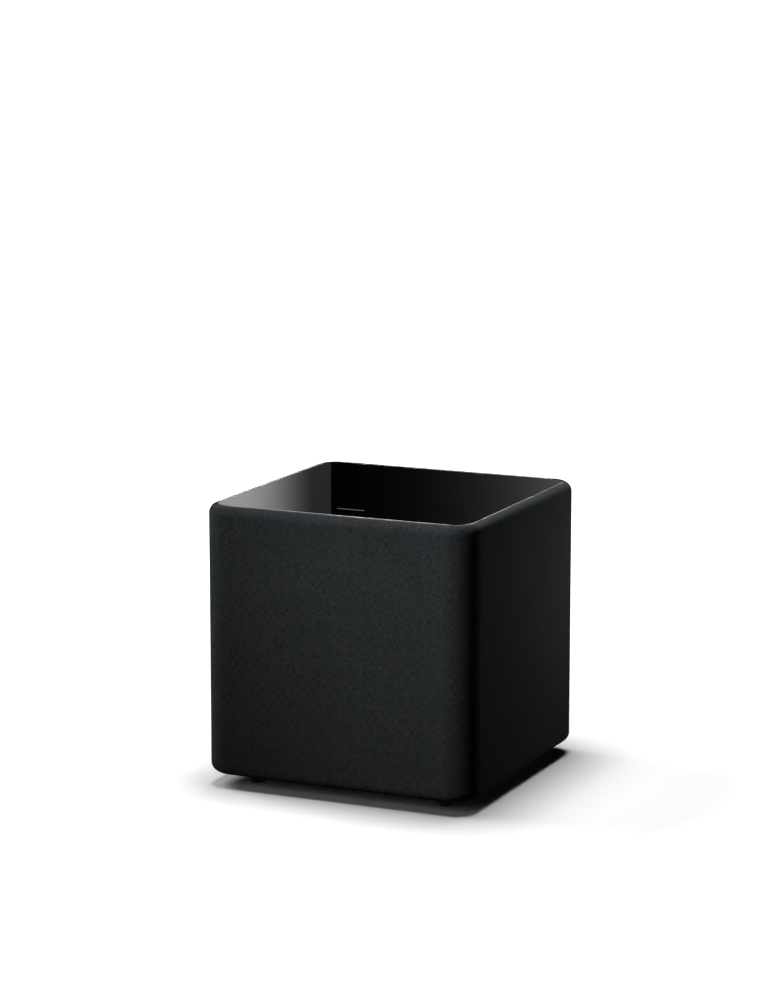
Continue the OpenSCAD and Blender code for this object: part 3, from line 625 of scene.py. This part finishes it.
def fill_grid(mesh, weave, grid, outline, runs):
    """Faces between the columns, except over the opening. Their UVs are metres along the cloth."""
    for i in range(len(grid)):
        for k in range(len(runs) - 1):
            spots = [(i, k), (i, k + 1), (i + 1, k + 1), (i + 1, k)]
            corners = [grid[a % len(grid)][b] for a, b in spots]
            if over_hole(corners):
                continue
            face = mesh.faces.new(corners)
            for loop, (a, b) in zip(face.loops, spots):
                loop[weave].uv = (outline[a][2], runs[b])


def hole_edge(x, z):
    """The opening's edge point that is nearest to a point outside it, and the way out from it."""
    straight = Vector((HOLE_X - HOLE_R, HOLE_Z - HOLE_R))
    near_x = max(-straight.x, min(straight.x, x))
    near_z = max(-straight.y, min(straight.y, z - MID_Z))
    away = Vector((x - near_x, z - MID_Z - near_z)).normalized()
    return near_x + away.x * HOLE_R, MID_Z + near_z + away.y * HOLE_R, away


def hem_line(mesh, vert):
    """Vertices from the grid's inner rim to the opening's edge, and round it into the opening."""
    x, z, away = hole_edge(vert.co.x, vert.co.z)
    line = [vert]
    for share in (1 / 3, 2 / 3):
        line.append(mesh.verts.new(vert.co.lerp(Vector((x, vert.co.y, z)), share)))
    for out, back in HOLE_FOLD:
        step = away * out * HOLE_TURN
        line.append(mesh.verts.new((x + step.x, vert.co.y - back * HOLE_TURN, z + step.y)))
    return line


def by_hole(edge):
    """Whether an edge is on the grid's inner rim, round the rear opening."""
    on_back = all(v.co.y > SLEEVE_HIGH.y - RIM_SLACK for v in edge.verts)
    within = all(abs(v.co.z - MID_Z) < HOLE_Z + 2 * HOLE_MARGIN for v in edge.verts)
    return edge.is_boundary and on_back and within


def hem_hole(mesh, weave, total, side_top):
    """Carries the cloth on to the opening's edge, and turns it in there."""
    mesh.verts.index_update()
    rim = [edge for edge in mesh.edges if by_hole(edge)]
    lines = {}
    for edge in rim:
        for vert in edge.verts:
            if vert not in lines:
                lines[vert] = hem_line(mesh, vert)
    for edge in rim:
        loop = next(loop for loop in edge.link_faces[0].loops if loop.edge == edge)
        first, second = lines[loop.link_loop_next.vert], lines[loop.vert]
        for k in range(len(first) - 1):
            face = mesh.faces.new((first[k], second[k], second[k + 1], first[k + 1]))
            left = sum(v.co.x for v in face.verts) < 0
            for corner in face.loops:
                x, _, z = corner.vert.co
                run = -x if left else total - x
                corner[weave].uv = (run, side_top + SLEEVE_HIGH.z - EDGE_R - z)


def settle(mesh, half_run):
    """Lets the cloth sink a little between its supports, and draws it in along the rear seam."""
    mesh.normal_update()
    for vert in mesh.verts:
        sink = min(0.0, noise.noise(vert.co * UNEVEN_RATE)) * UNEVEN
        seam = math.exp(-(vert.co.x / SEAM_W) ** 2) * SEAM_DEPTH if vert.co.y > STRAIGHT_Y else 0.0
        free = (half_run - abs(vert.co.z - MID_Z)) / EDGE_R - EDGE_HOLD
        vert.co += vert.normal * (sink * min(1.0, max(0.0, free)) - seam)


def make_cover():
    """The stretched cloth cover, with its rear seam, its rear opening and its turned-in edges."""
    outline, total = cover_outline()
    profile = cover_profile()
    runs = [0.0]
    for a, b in zip(profile, profile[1:]):
        runs.append(runs[-1] + math.dist(a, b))
    side_top = runs[profile.index((CORNER_R, SLEEVE_HIGH.z - EDGE_R))]
    mesh = bmesh.new()
    weave = mesh.loops.layers.uv.new("weave")
    fill_grid(mesh, weave, cover_grid(mesh, outline, profile), outline, runs)
    hem_hole(mesh, weave, total, side_top)
    settle(mesh, runs[-1] / 2)
    for face in mesh.faces:
        face.smooth = True
    cover = make_piece("fabric_cover", [], [], "fabric", "cabinet", ["fabric_sleeve"])
    mesh.to_mesh(cover.data)
    mesh.free()
    solid = cover.modifiers.new("thickness", "SOLIDIFY")
    solid.thickness = CLOTH_T
    solid.offset = -1


# ---------- driver's soft parts ----------

SURROUND_LOW, SURROUND_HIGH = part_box("surround")
SPIDER_LOW, SPIDER_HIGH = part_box("spider")
ROLL_IN = 0.058
ROLL_OUT = 0.074
LIP_IN = 0.054
LIP_T = 0.0006
LIP_STEP = 0.002
ROLL_STEPS = 24
WAVE_START = 0.020
WAVE_END = 0.044
WAVE_H = 0.0028
WAVE_COUNT = 4
FLAT_START = 0.047
SPIDER_T = 0.0005
DRIVER_AT = Vector((0, 0, MID_Z))
LEAD_MM = 0.001
TINSEL_R = 0.0008
TINSEL_ROUTE = [(53.5, -57, 4), (54, -60, 4), (58, -66, 4), (60.5, -73, 4), (59.5, -81, 4),
                (54, -88, 4), (47, -94, 4), (42.5, -99, 4), (42, -103, 4)]
LEAD_R = 0.0012
LEAD_PITCH = 0.010
LEAD_ROUTE = [(50, 101.4, 6), (50, 94, 6), (51, 84, 4), (54, 72, 1), (58, 60, -3), (61, 48, -6),
              (62, 36, -7), (63, 24, -7), (65, 12, -7), (68, -2, -5), (71, -14, -3), (74, -26, 0),
              (76, -36, 3), (77, -44, 4), (75, -49, 5), (71, -51, 5), (67, -51, 5), (62, -51, 5)]


def flex_between(piece):
    """Bakes a ring's placement into its mesh."""
    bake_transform(piece)


def make_surround():
    """The rubber half-roll between the cone and the basket, with flat lips."""
    level = SURROUND_HIGH.y - LIP_T / 2
    centre = (ROLL_IN + ROLL_OUT) / 2
    radius = (ROLL_OUT - ROLL_IN) / 2 - LIP_T / 2
    path = [(r, level) for r in (LIP_IN, LIP_IN + LIP_STEP, ROLL_IN - LIP_T)]
    for step in range(1, ROLL_STEPS):
        angle = math.pi * (1 - step / ROLL_STEPS)
        path.append((centre + radius * math.cos(angle), level - radius * math.sin(angle)))
    path += [(r, level) for r in (ROLL_OUT + LIP_T, SURROUND_HIGH.x - LIP_STEP, SURROUND_HIGH.x)]
    roll = turned("surround_roll", ribbon(path, LIP_T), "surround_rubber", None, ["surround"])
    flex_between(roll)


def make_spider():
    """The corrugated cloth disc that centres the voice coil."""
    level = (SPIDER_LOW.y + SPIDER_HIGH.y) / 2
    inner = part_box("voice_coil_former")[1].x + SPIDER_T / 4
    steps = 12 * WAVE_COUNT
    path = [(inner, level)]
    for step in range(steps + 1):
        share = step / steps
        height = WAVE_H * math.sin(math.pi * WAVE_COUNT * share)
        path.append((WAVE_START + (WAVE_END - WAVE_START) * share, level + height))
    path += [(FLAT_START, level), (SPIDER_HIGH.x, level)]
    disc = turned("spider_disc", ribbon(path, SPIDER_T), "spider_cloth", None, ["spider"])
    flex_between(disc)


def make_lead(name, route, radius, slot, body, node, places):
    """Round leads along a route, in millimetres about the driver's axis.

    Each place gives one lead, with the route's z times flip and then lowered by drop.
    """
    parts = []
    for flip, drop in places:
        points = [Vector((x, y, flip * z - drop)) * LEAD_MM + DRIVER_AT for x, y, z in route]
        parts.append(tube(smooth_route(points, 5), radius))
    piece = make_piece(name, *join_meshes(parts), slot, body, [node])
    turn_outwards(piece)
    return piece


def make_leads():
    """The two braids to the cone, and the two wires from the amplifier."""
    braids = make_lead("tinsel_braids", TINSEL_ROUTE, TINSEL_R, "braid", None, "tinsel_leads",
                       [(1, 0), (-1, 0)])
    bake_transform(braids)
    make_lead("lead_red_wire", LEAD_ROUTE, LEAD_R, "red_sleeving", "cabinet", "speaker_lead_red",
              [(1, 0)])
    make_lead("lead_black_wire", LEAD_ROUTE, LEAD_R, "black_sleeving", "cabinet", "speaker_lead_black",
              [(1, LEAD_PITCH / LEAD_MM)])


PAD_T = 0.024
PAD_CUTS = 23
PAD_FLAT = 0.42
PAD_CROWN = 0.53
PAD_PLAY = 0.012
SIDE_PLAY = 0.015
SIDE_DRAW = 0.02
LUMP = 0.0009
LUMP_RATES = (60, 160)


def pad_shape(a, b, c):
    """A point of the cube from -1 to 1, moved to a pad that is fullest in its middle."""
    crown = math.sqrt(max(0.0, (1 - b ** 4) * (1 - c ** 4)))
    depth = a * (PAD_FLAT + PAD_CROWN * crown)
    along = b * (1 - SIDE_PLAY - SIDE_DRAW * (1 - c * c))
    height = c * (1 - SIDE_PLAY - SIDE_DRAW * (1 - b * b))
    return Vector((depth, along, height))


def make_wadding():
    """Two pads of loose fibre, fullest in the middle and drawn in along their sides."""
    low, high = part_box("acoustic_wadding")
    size = Vector((PAD_T, high.y - low.y, high.z - low.z)) / 2
    centre = Vector((high.x, high.y, high.z)) - size
    mesh = bmesh.new()
    bmesh.ops.create_cube(mesh, size=2.0)
    bmesh.ops.subdivide_edges(mesh, edges=mesh.edges, cuts=PAD_CUTS, use_grid_fill=True)
    mesh.verts.index_update()
    points = []
    for vert in mesh.verts:
        spot = pad_shape(*vert.co) * size
        coarse, fine = (noise.noise(spot * rate) for rate in LUMP_RATES)
        lump = coarse + 0.5 * fine
        points.append(centre + spot * (1 - PAD_PLAY) + Vector((vert.co.x * lump * LUMP, 0, 0)))
    faces = [tuple(vert.index for vert in face.verts) for face in mesh.faces]
    mesh.free()
    other = [Vector((-point.x, point.y, point.z)) for point in points]
    both = join_meshes([(points, faces), (other, [face[::-1] for face in faces])])
    pads = make_piece("wadding_pads", *both, "wadding", "cabinet", ["acoustic_wadding"])


# ---------- printed marks on the amplifier panel ----------

INK_T = 0.00004
TICK_W = 0.0005
TICK_START = 0.0132
TICK_END = 0.0150
TICK_COUNT = 11
TICK_LONGER = 0.0008
TURN_LIMIT = 150
STOP_GAP = 0.004
STOP_START = 0.0042
STOP_END = 0.0058
STOP_RING_AWAY = 0.0076
STOP_RING = (0.0004, 0.0009)
INPUT_RING_AWAY = (0.0012, 0.0017)
LENS_RING = (0.0030, 0.0034)
POINTER_DEPTH = 0.0005
POINTER_START = 0.0036
POINTER_END = 0.0090
POINTER_W = 0.0008
ROCKER_TILT = 8
ROCKER_FACE = 0.0065
SIGN_AWAY = 0.0040
SIGN_R = 0.0014
SIGN_W = 0.0004


def mark(corners, base):
    """Points and faces of one thin printed mark on the level base, from its corners in x and z."""
    count = len(corners)
    points = [Vector((x, y, z)) for y in (base, base + INK_T) for x, z in corners]
    faces = [tuple(range(count)), tuple(reversed(range(count, 2 * count)))]
    faces += [(i, (i + 1) % count, count + (i + 1) % count, count + i) for i in range(count)]
    return points, faces


def bar_mark(x, z, angle, start, end, width, base=PANEL_FACE_Y):
    """A bar that points away from [x, z] at an angle clockwise from straight up, seen from behind."""
    out = Vector((-math.sin(angle), math.cos(angle)))
    side = Vector((out.y, -out.x)) * width / 2
    at = Vector((x, z))
    near, far = at + out * start, at + out * end
    return mark([near - side, near + side, far + side, far - side], base)


def ring_mark(x, z, inner, outer, steps=48, base=PANEL_FACE_Y):
    """A round printed ring, as one closed band."""
    points, faces = [], []
    for step in range(steps):
        angle = math.tau * step / steps
        for r, y in ((inner, 0), (outer, 0), (outer, INK_T), (inner, INK_T)):
            points.append(Vector((x + r * math.cos(angle), base + y, z + r * math.sin(angle))))
    for step in range(steps):
        here, there = 4 * step, 4 * ((step + 1) % steps)
        faces += [(here + i, here + (i + 1) % 4, there + (i + 1) % 4, there + i) for i in range(4)]
    return points, faces


def middle_of(node):
    low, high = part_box(node)
    return (low.x + high.x) / 2, (low.z + high.z) / 2


def printed(name, parts, body):
    """One piece of pale ink, which moves with a body."""
    ink = make_piece(name, *join_meshes(parts), "lever_plastic", body)
    turn_outwards(ink)
    for face in ink.data.polygons:
        face.use_smooth = False


def dial_scale(node):
    """Ticks round a knob, with longer ones at its stops and in the middle."""
    x, z = middle_of(node)
    marks = []
    for i in range(TICK_COUNT):
        angle = math.radians(TURN_LIMIT * (2 * i / (TICK_COUNT - 1) - 1))
        longer = TICK_LONGER if i in (0, TICK_COUNT // 2, TICK_COUNT - 1) else 0.0
        marks.append(bar_mark(x, z, angle, TICK_START, TICK_END + longer, TICK_W))
    return marks


def switch_stops(node, stops):
    """A bar and a dot over each stop of a slide switch's lever."""
    x, z = middle_of(node)
    marks = []
    for stop in stops:
        marks.append(bar_mark(x + stop, z, 0, STOP_START, STOP_END, TICK_W))
        marks.append(ring_mark(x + stop, z + STOP_RING_AWAY, *STOP_RING, 24))
    return marks


def input_marks():
    """A ring round each of the two line inputs."""
    low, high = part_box("line_in_jacks")
    reach = (high.z - low.z) / 2
    rings = [reach + away for away in INPUT_RING_AWAY]
    return [ring_mark(x, (low.z + high.z) / 2, *rings) for x in (low.x + reach, high.x - reach)]


def make_panel_print():
    """Dial scales round the knobs, stops over the slide switches, and rings round the inputs."""
    marks = dial_scale("volume_knob") + dial_scale("crossover_knob")
    marks += switch_stops("phase_lever", (0, STOP_GAP))
    marks += switch_stops("mode_lever", (-STOP_GAP, 0, STOP_GAP))
    marks += input_marks()
    marks.append(ring_mark(*middle_of("status_lens"), *LENS_RING, 36))
    printed("panel_print", marks, "cabinet")


def make_pointers():
    """The pale pointer line in the groove on each knob's cap."""
    for control in ("volume", "crossover"):
        x, z = middle_of(control + "_knob")
        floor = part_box(control + "_knob")[1].y - POINTER_DEPTH
        bar = bar_mark(x, z, 0, POINTER_START, POINTER_END, POINTER_W, floor)
        printed(control + "_pointer", [bar], control + "_control")


def make_rocker_print():
    """The plain on and off signs, a bar and a ring, on the two halves of the rocker's face."""
    joint = next(j for j in frame["record"]["behaviour"]["joints"] if j["name"] == "power_rock")
    axle = Vector(joint["pos_m"])
    crease = axle + Matrix.Rotation(math.radians(ROCKER_TILT), 3, "X") @ Vector((0, ROCKER_FACE, 0))
    bar = bar_mark(axle.x, crease.z + SIGN_AWAY, 0, -SIGN_R, SIGN_R, SIGN_W, crease.y)
    ring, faces = ring_mark(axle.x, crease.z - SIGN_AWAY, SIGN_R - SIGN_W, SIGN_R, 36, crease.y)
    lean = Matrix.Rotation(math.radians(2 * ROCKER_TILT), 3, "X")
    ring = [crease + lean @ (point - crease) for point in ring]
    printed("rocker_print", [bar, (ring, faces)], "power_switch_rocker")


# ---------- stage, light and camera ----------

STAGE_R = 12.0
STAGE_STEPS = 96
STAGE_ROWS = 24
STAGE_GLOW = 1.2
FLOOR_COLOR = (0.86, 0.86, 0.86)
GLOW_NEAR = 0.3
GLOW_FAR = 0.8
HEADING = -0.4244
PITCH = 0.1872
CAMERA_AT = (1.1913, -2.6538, 0.7998)
LENS = 118.33

# Each lamp: its way round from the front and its height, in degrees, then its distance from the
# point it aims at, its width, its spread in degrees, its watts and that point.
OBJECT_LAMPS = {
    "key": (-35, 35, 1.4, 0.35, 25, 0.6, (0.10, SLEEVE_LOW.y, 0.23)),
    "overhead_left": (-90, 70, 1.8, 0.5, 180, 17, (0, 0, SLEEVE_HIGH.z)),
    "low_left": (-75, 10, 1.8, 0.9, 180, 2.3, (0, 0, MID_Z)),
    "low_right": (60, 5, 1.8, 0.9, 180, 0.12, (0, 0, MID_Z)),
    "rear_right": (132, 8, 0.17, 0.1, 180, 0.14, (SLEEVE_HIGH.x, 0.09, 0.155)),
    "behind": (-172, 35, 1.8, 0.5, 180, 15, (0, 0, MID_Z)),
}
FLOOR_LAMPS = {
    "floor_top": (0, 90, 1.8, 0.5, 180, 18, (0, 0, 0)),
    "floor_overhead": (180, 85, 1.8, 0.9, 180, 20, (0, 0, 0)),
    "floor_left": (-90, 45, 1.8, 0.9, 180, 15, (0, 0, 0)),
    "floor_front": (0, 30, 1.8, 0.9, 180, 3.6, (0, 0, 0)),
}


def floor_ring(share):
    """The floor's radius and height at a share of the way out, in finer steps near the middle."""
    return STAGE_R * share ** 2, 0.0


def dome_ring(share):
    """The dome's radius and height at a share of the way up."""
    angle = math.pi / 2 * share
    return STAGE_R * math.cos(angle), STAGE_R * math.sin(angle)


def studio_surface(name, ring, color):
    """A stage surface made of rings, which glows white away from the object."""
    points, faces = [], []
    for row in range(STAGE_ROWS + 1):
        reach, height = ring(row / STAGE_ROWS)
        for step in range(STAGE_STEPS):
            angle = math.tau * step / STAGE_STEPS
            points.append((reach * math.cos(angle), reach * math.sin(angle), height))
    for row in range(STAGE_ROWS):
        for step in range(STAGE_STEPS):
            a = row * STAGE_STEPS + step
            b = row * STAGE_STEPS + (step + 1) % STAGE_STEPS
            faces.append((a, b, b + STAGE_STEPS, a + STAGE_STEPS))
    data = bpy.data.meshes.new(name)
    data.from_pydata(points, [], faces)
    m = Material(name, color, Roughness=1.0, Specular_IOR_Level=0.0)
    m.set("Emission Color", (1, 1, 1))
    distance = m.add("ShaderNodeVectorMath", {0: m.place}, operation="LENGTH").outputs["Value"]
    m.set("Emission Strength", m.between(distance, 0.0, STAGE_GLOW, GLOW_NEAR, GLOW_FAR))
    data.materials.append(m.data)
    surface = bpy.data.objects.new(name, data)
    bpy.context.scene.collection.objects.link(surface)
    return surface


def make_stage():
    """The floor, and a dome over it that only the camera sees."""
    floor = studio_surface("floor", floor_ring, FLOOR_COLOR)
    floor.visible_diffuse = False
    floor.visible_glossy = False
    dome = studio_surface("backdrop", dome_ring, (0, 0, 0))
    for ray in ("diffuse", "glossy", "transmission", "volume_scatter", "shadow"):
        setattr(dome, "visible_" + ray, False)
    return floor


def make_lamp(name, way, height, distance, side, spread, watts, aim, receivers):
    """A square softbox that lights only a collection's objects."""
    way, height = math.radians(way), math.radians(height)
    out = Vector((math.sin(way) * math.cos(height), -math.cos(way) * math.cos(height), math.sin(height)))
    light = bpy.data.lights.new(name, "AREA")
    light.size = side
    light.spread = math.radians(spread)
    light.energy = watts
    lamp = bpy.data.objects.new(name, light)
    lamp.location = Vector(aim) + out * distance
    lamp.rotation_euler = (-out).to_track_quat("-Z", "Y").to_euler()
    lamp.visible_camera = False
    lamp.light_linking.receiver_collection = receivers
    bpy.context.scene.collection.objects.link(lamp)


def make_lamps(floor):
    """The floor has lamps of its own, so that it stays white while the cloth stays dark."""
    floor_only = bpy.data.collections.new("floor_only")
    floor_only.objects.link(floor)
    all_but_floor = bpy.data.collections.new("all_but_floor")
    all_but_floor.objects.link(floor)
    all_but_floor.collection_objects[0].light_linking.link_state = "EXCLUDE"
    for name, facts in OBJECT_LAMPS.items():
        make_lamp(name, *facts, all_but_floor)
    for name, facts in FLOOR_LAMPS.items():
        make_lamp(name, *facts, floor_only)


# The mirrored studio by its angle aside of straight ahead, in radians, and its brightness.
FLAG_EDGE = -0.0169
WALL_END = -0.0215
WALL_FULL = -0.046
WALL_LOW = 0.055
WALL_MOST = 0.82
GLOW_START = 0.0043
GLOW_RATE = 69.0
GLOW_MOST = 0.6
STUDIO_HALF = 0.075
SURROUND = 0.1
CEILING = 0.15
CEILING_RISE = (0.35, 0.6)


def make_reflections():
    """The studio that the gloss panel mirrors: a bright wall, a black flag and a slow glow."""
    world = bpy.data.worlds.new("studio")
    world.use_nodes = True
    world.cycles_visibility.diffuse = False
    bpy.context.scene.world = world
    nodes = Nodes(world.node_tree)
    place = nodes.add("ShaderNodeTexCoord").outputs["Generated"]

    def along(direction):
        inputs = {0: place, 1: direction}
        return nodes.add("ShaderNodeVectorMath", inputs, operation="DOT_PRODUCT").outputs["Value"]

    ahead = along((math.sin(HEADING), math.cos(HEADING), 0))
    aside = along((math.cos(HEADING), -math.sin(HEADING), 0))
    way = nodes.math("ARCTAN2", aside, ahead)
    wall = nodes.between(way, WALL_LOW, WALL_MOST, WALL_END, WALL_FULL, "SMOOTHSTEP")
    glow = nodes.math("EXPONENT", nodes.math("MULTIPLY", way, GLOW_RATE))
    glow = nodes.math("MINIMUM", nodes.math("MULTIPLY", glow, GLOW_START), GLOW_MOST)
    strength = nodes.mixed(nodes.math("LESS_THAN", way, FLAG_EDGE), glow, wall)
    off_axis = nodes.math("ABSOLUTE", way)
    near = nodes.between(off_axis, 1.0, SURROUND, STUDIO_HALF, 2 * STUDIO_HALF, "SMOOTHSTEP")
    low = nodes.between(along((0, 0, 1)), 1.0, CEILING, *CEILING_RISE, "SMOOTHSTEP")
    strength = nodes.math("MULTIPLY", nodes.math("MULTIPLY", strength, near), low)
    background = nodes.tree.nodes["Background"]
    nodes.feed(background.inputs["Color"], (1, 1, 1))
    nodes.feed(background.inputs["Strength"], strength)


def make_camera():
    data = bpy.data.cameras.new("camera")
    data.sensor_width = 36
    data.lens = LENS
    data.clip_end = 100
    camera = bpy.data.objects.new("camera", data)
    camera.location = CAMERA_AT
    camera.rotation_euler = (math.pi / 2 - PITCH, 0, -HEADING)
    bpy.context.scene.collection.objects.link(camera)
    bpy.context.scene.camera = camera


make_camera()
make_lamps(make_stage())
make_reflections()
bpy.context.scene.view_settings.view_transform = "Standard"
dress_frame()
make_cover()
make_surround()
make_spider()
make_leads()
make_wadding()
make_panel_print()
make_pointers()
make_rocker_print()
